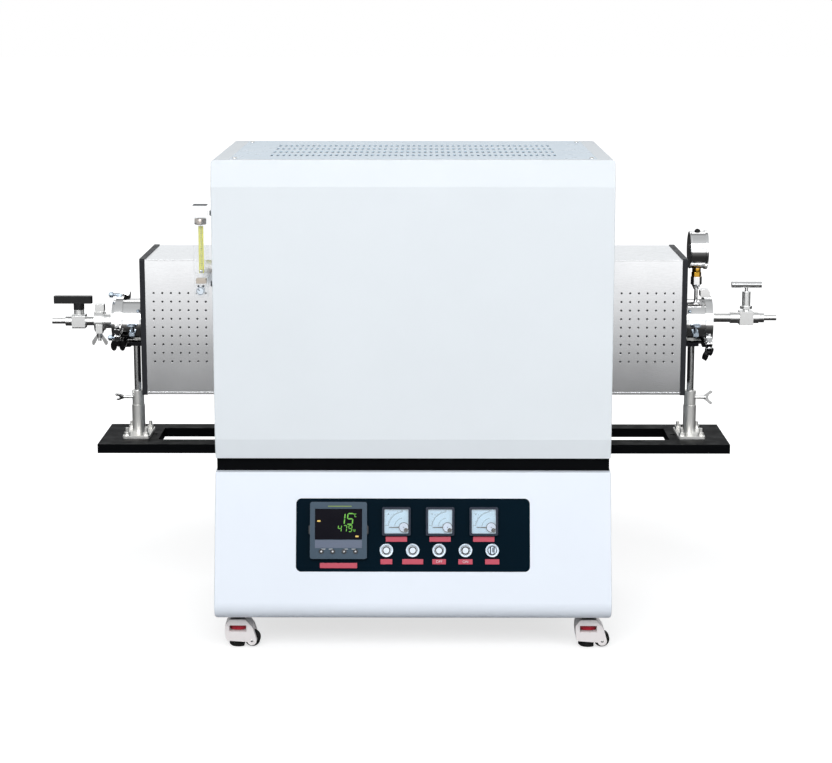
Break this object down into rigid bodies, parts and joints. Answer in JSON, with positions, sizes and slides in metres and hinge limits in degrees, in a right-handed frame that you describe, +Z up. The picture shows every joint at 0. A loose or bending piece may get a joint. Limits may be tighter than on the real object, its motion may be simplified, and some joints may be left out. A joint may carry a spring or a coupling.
{
  "type": "tube furnace",
  "caption": "Floor-standing laboratory tube furnace: a heated cabinet round a horizontal ceramic tube with vacuum flanges, gas valves, side shields, meters and levelling casters.",
  "frame": {"origin": "on the floor, under the middle of the bounding box", "axes": "+X right along the process tube, +Y to the rear, +Z up"},
  "size_m": [1.2899, 0.5118, 0.83],
  "materials": {
    "white_paint": "satin",
    "black_paint": "satin",
    "frame_paint": "satin",
    "stainless": "satin",
    "polished_steel": "polished",
    "panel_blue_black": "satin",
    "black_plastic": "matte",
    "grey_plastic": "satin",
    "meter_plastic": "satin",
    "white_plastic": "gloss",
    "cream_plastic": "satin",
    "clear_acrylic": "gloss",
    "alumina": "matte",
    "fibre_board": "matte",
    "element_metal": "matte",
    "core_steel": "matte",
    "rubber": "matte",
    "needle_red": "matte"
  },
  "bodies": {
    "furnace": {"base_frame": "frame_paint", "base_front_panel": "white_paint", "base_panels": "white_paint", "caster_plates": "black_paint", "clamp_rings": "polished_steel", "control_plate": "panel_blue_black", "controller_case": "grey_plastic", "deck_and_rails": "black_paint", "elements_and_probe": "element_metal", "end_caps": "polished_steel", "gas_fittings": "polished_steel", "gauge_case": "polished_steel", "insulation_blocks": "fibre_board", "meter_cases": "meter_plastic", "pilot_lenses": "white_plastic", "post_sleeves": "polished_steel", "power_supply": "core_steel", "process_tube": "alumina", "rotameter_body": "clear_acrylic", "shield_ends": "black_paint", "switch_bezels": "stainless", "top_cover": "white_paint", "tube_flanges": "polished_steel", "tube_shields": "stainless", "upper_front_panel": "white_paint", "upper_panels": "white_paint"},
    "front_left_caster_yoke": {"front_left_caster_yoke": "cream_plastic"},
    "front_left_caster_wheel": {"front_left_caster_wheel": "rubber"},
    "front_left_caster_foot": {"front_left_caster_foot": "rubber"},
    "front_right_caster_yoke": {"front_right_caster_yoke": "cream_plastic"},
    "front_right_caster_wheel": {"front_right_caster_wheel": "rubber"},
    "front_right_caster_foot": {"front_right_caster_foot": "rubber"},
    "rear_left_caster_yoke": {"rear_left_caster_yoke": "cream_plastic"},
    "rear_left_caster_wheel": {"rear_left_caster_wheel": "rubber"},
    "rear_left_caster_foot": {"rear_left_caster_foot": "rubber"},
    "rear_right_caster_yoke": {"rear_right_caster_yoke": "cream_plastic"},
    "rear_right_caster_wheel": {"rear_right_caster_wheel": "rubber"},
    "rear_right_caster_foot": {"rear_right_caster_foot": "rubber"},
    "off_button": {"off_button": "white_plastic"},
    "on_button": {"on_button": "white_plastic"},
    "rotary_switch": {"rotary_switch": "grey_plastic"},
    "controller_key_1": {"controller_key_1": "grey_plastic"},
    "controller_key_2": {"controller_key_2": "grey_plastic"},
    "controller_key_3": {"controller_key_3": "grey_plastic"},
    "controller_key_4": {"controller_key_4": "grey_plastic"},
    "left_meter_needle": {"left_meter_needle": "needle_red"},
    "middle_meter_needle": {"middle_meter_needle": "needle_red"},
    "right_meter_needle": {"right_meter_needle": "needle_red"},
    "rotameter_float": {"rotameter_float": "stainless"},
    "rotameter_knob": {"rotameter_knob": "white_plastic"},
    "ball_valve_handle": {"ball_valve_handle": "black_plastic"},
    "needle_valve_handle": {"needle_valve_handle": "polished_steel"},
    "gauge_pointer": {"gauge_pointer": "needle_red"},
    "left_post_rod": {"left_post_rod": "stainless"},
    "left_wing_screw": {"left_wing_screw": "polished_steel"},
    "left_clamp_nut": {"left_clamp_nut": "black_plastic"},
    "right_post_rod": {"right_post_rod": "stainless"},
    "right_wing_screw": {"right_wing_screw": "polished_steel"},
    "right_clamp_nut": {"right_clamp_nut": "black_plastic"},
    "small_clamp_nut": {"small_clamp_nut": "polished_steel"}
  },
  "joints": [
    {"name": "front_left_swivel", "type": "hinge", "parent": "furnace", "child": "front_left_caster_yoke", "pos_m": [-0.299, -0.19892, 0.054], "axis": [0, 0, 1], "continuous": true},
    {"name": "front_left_wheel_spin", "type": "hinge", "parent": "front_left_caster_yoke", "child": "front_left_caster_wheel", "pos_m": [-0.275, -0.19892, 0.0133], "axis": [0, 1, 0], "continuous": true},
    {"name": "front_left_foot_travel", "type": "slide", "parent": "front_left_caster_yoke", "child": "front_left_caster_foot", "axis": [0, 0, -1], "range_m": [0, 0.01]},
    {"name": "front_right_swivel", "type": "hinge", "parent": "furnace", "child": "front_right_caster_yoke", "pos_m": [0.299, -0.19892, 0.054], "axis": [0, 0, 1], "continuous": true},
    {"name": "front_right_wheel_spin", "type": "hinge", "parent": "front_right_caster_yoke", "child": "front_right_caster_wheel", "pos_m": [0.323, -0.19892, 0.0133], "axis": [0, 1, 0], "continuous": true},
    {"name": "front_right_foot_travel", "type": "slide", "parent": "front_right_caster_yoke", "child": "front_right_caster_foot", "axis": [0, 0, -1], "range_m": [0, 0.01]},
    {"name": "rear_left_swivel", "type": "hinge", "parent": "furnace", "child": "rear_left_caster_yoke", "pos_m": [-0.299, 0.19592, 0.054], "axis": [0, 0, 1], "continuous": true},
    {"name": "rear_left_wheel_spin", "type": "hinge", "parent": "rear_left_caster_yoke", "child": "rear_left_caster_wheel", "pos_m": [-0.275, 0.19592, 0.0133], "axis": [0, 1, 0], "continuous": true},
    {"name": "rear_left_foot_travel", "type": "slide", "parent": "rear_left_caster_yoke", "child": "rear_left_caster_foot", "axis": [0, 0, -1], "range_m": [0, 0.01]},
    {"name": "rear_right_swivel", "type": "hinge", "parent": "furnace", "child": "rear_right_caster_yoke", "pos_m": [0.299, 0.19592, 0.054], "axis": [0, 0, 1], "continuous": true},
    {"name": "rear_right_wheel_spin", "type": "hinge", "parent": "rear_right_caster_yoke", "child": "rear_right_caster_wheel", "pos_m": [0.323, 0.19592, 0.0133], "axis": [0, 1, 0], "continuous": true},
    {"name": "rear_right_foot_travel", "type": "slide", "parent": "rear_right_caster_yoke", "child": "rear_right_caster_foot", "axis": [0, 0, -1], "range_m": [0, 0.01]},
    {"name": "off_button_travel", "type": "slide", "parent": "furnace", "child": "off_button", "axis": [0, 0.9613, -0.2756], "range_m": [0, 0.003], "stiffness_N_per_m": 400},
    {"name": "on_button_travel", "type": "slide", "parent": "furnace", "child": "on_button", "axis": [0, 0.9613, -0.2756], "range_m": [0, 0.003], "stiffness_N_per_m": 400},
    {"name": "rotary_switch_turn", "type": "hinge", "parent": "furnace", "child": "rotary_switch", "pos_m": [0.1337, -0.23047, 0.1761], "axis": [0, 0.9613, -0.2756], "range_deg": [0, 90]},
    {"name": "key_1_travel", "type": "slide", "parent": "furnace", "child": "controller_key_1", "axis": [0, 0.9613, -0.2756], "range_m": [0, 0.0008], "stiffness_N_per_m": 300},
    {"name": "key_2_travel", "type": "slide", "parent": "furnace", "child": "controller_key_2", "axis": [0, 0.9613, -0.2756], "range_m": [0, 0.0008], "stiffness_N_per_m": 300},
    {"name": "key_3_travel", "type": "slide", "parent": "furnace", "child": "controller_key_3", "axis": [0, 0.9613, -0.2756], "range_m": [0, 0.0008], "stiffness_N_per_m": 300},
    {"name": "key_4_travel", "type": "slide", "parent": "furnace", "child": "controller_key_4", "axis": [0, 0.9613, -0.2756], "range_m": [0, 0.0008], "stiffness_N_per_m": 300},
    {"name": "left_needle_swing", "type": "hinge", "parent": "furnace", "child": "left_meter_needle", "pos_m": [-0.0155, -0.21975, 0.2135], "axis": [0, 0.9613, -0.2756], "range_deg": [0, 90], "stiffness_Nm_per_rad": 0.0005},
    {"name": "middle_needle_swing", "type": "hinge", "parent": "furnace", "child": "middle_meter_needle", "pos_m": [0.0583, -0.21975, 0.2135], "axis": [0, 0.9613, -0.2756], "range_deg": [0, 90], "stiffness_Nm_per_rad": 0.0005},
    {"name": "right_needle_swing", "type": "hinge", "parent": "furnace", "child": "right_meter_needle", "pos_m": [0.1321, -0.21975, 0.2135], "axis": [0, 0.9613, -0.2756], "range_deg": [0, 90], "stiffness_Nm_per_rad": 0.0005},
    {"name": "float_rise", "type": "slide", "parent": "furnace", "child": "rotameter_float", "axis": [0, 0, 1], "range_m": [0, 0.08]},
    {"name": "flow_knob_turn", "type": "hinge", "parent": "furnace", "child": "rotameter_knob", "pos_m": [-0.359, -0.14408, 0.6065], "axis": [0, 1, 0], "range_deg": [0, 1080]},
    {"name": "ball_valve_turn", "type": "hinge", "parent": "furnace", "child": "ball_valve_handle", "pos_m": [-0.5969, 0.04091, 0.525], "axis": [0, 0, 1], "range_deg": [0, 90]},
    {"name": "needle_valve_turn", "type": "hinge", "parent": "furnace", "child": "needle_valve_handle", "pos_m": [0.591, 0.04091, 0.532], "axis": [0, 0, 1], "range_deg": [0, 1440]},
    {"name": "gauge_pointer_swing", "type": "hinge", "parent": "furnace", "child": "gauge_pointer", "pos_m": [0.5185, 0.04091, 0.6535], "axis": [-1, 0, 0], "range_deg": [0, 270], "stiffness_Nm_per_rad": 0.002},
    {"name": "left_post_slide", "type": "slide", "parent": "furnace", "child": "left_post_rod", "axis": [0, 0, -1], "range_m": [0, 0.03]},
    {"name": "left_wing_screw_turn", "type": "hinge", "parent": "furnace", "child": "left_wing_screw", "pos_m": [-0.495, 0.04091, 0.3875], "axis": [-1, 0, 0], "range_deg": [0, 720]},
    {"name": "left_clamp_nut_turn", "type": "hinge", "parent": "furnace", "child": "left_clamp_nut", "pos_m": [-0.52125, -0.01414, 0.51025], "axis": [0, 0.2588, -0.9659], "range_deg": [0, 1080]},
    {"name": "right_post_slide", "type": "slide", "parent": "furnace", "child": "right_post_rod", "axis": [0, 0, -1], "range_m": [0, 0.03]},
    {"name": "right_wing_screw_turn", "type": "hinge", "parent": "furnace", "child": "right_wing_screw", "pos_m": [0.495, 0.04091, 0.3875], "axis": [1, 0, 0], "range_deg": [0, 720]},
    {"name": "right_clamp_nut_turn", "type": "hinge", "parent": "furnace", "child": "right_clamp_nut", "pos_m": [0.52125, -0.00275, 0.48836], "axis": [0, 0.6428, -0.766], "range_deg": [0, 1080]},
    {"name": "small_clamp_nut_turn", "type": "hinge", "parent": "furnace", "child": "small_clamp_nut", "pos_m": [-0.5594, 0.02891, 0.525], "axis": [0, 0, 1], "range_deg": [0, 1080]}
  ]
}
